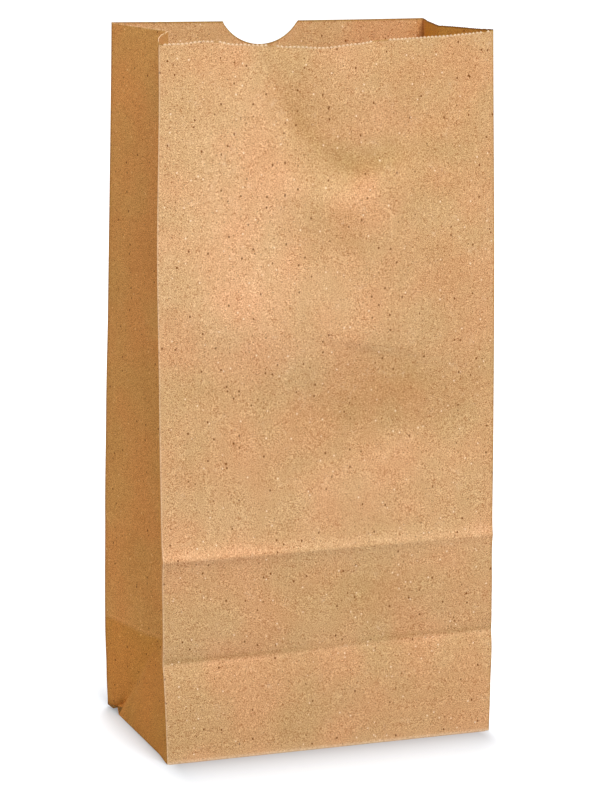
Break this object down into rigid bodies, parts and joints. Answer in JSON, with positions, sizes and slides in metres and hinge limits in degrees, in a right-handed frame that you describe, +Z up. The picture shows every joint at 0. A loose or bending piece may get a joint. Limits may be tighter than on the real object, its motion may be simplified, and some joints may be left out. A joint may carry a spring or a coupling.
{
  "type": "brown paper lunch bag",
  "caption": "Open block-bottom paper bag with side gussets, a toothed rim, a thumb notch and a flat folded base.",
  "frame": {"origin": "centre of the underside, on the front flap that the bag stands on", "axes": "+Z up towards the mouth, +X to the right seen from the front, +Y from the plain front panel to the back panel with the thumb notch"},
  "size_m": [0.1332, 0.0807, 0.2695],
  "materials": {
    "brown_paper": "matte"
  },
  "bodies": {
    "root": {"paper_bag": "brown_paper"}
  },
  "joints": []
}
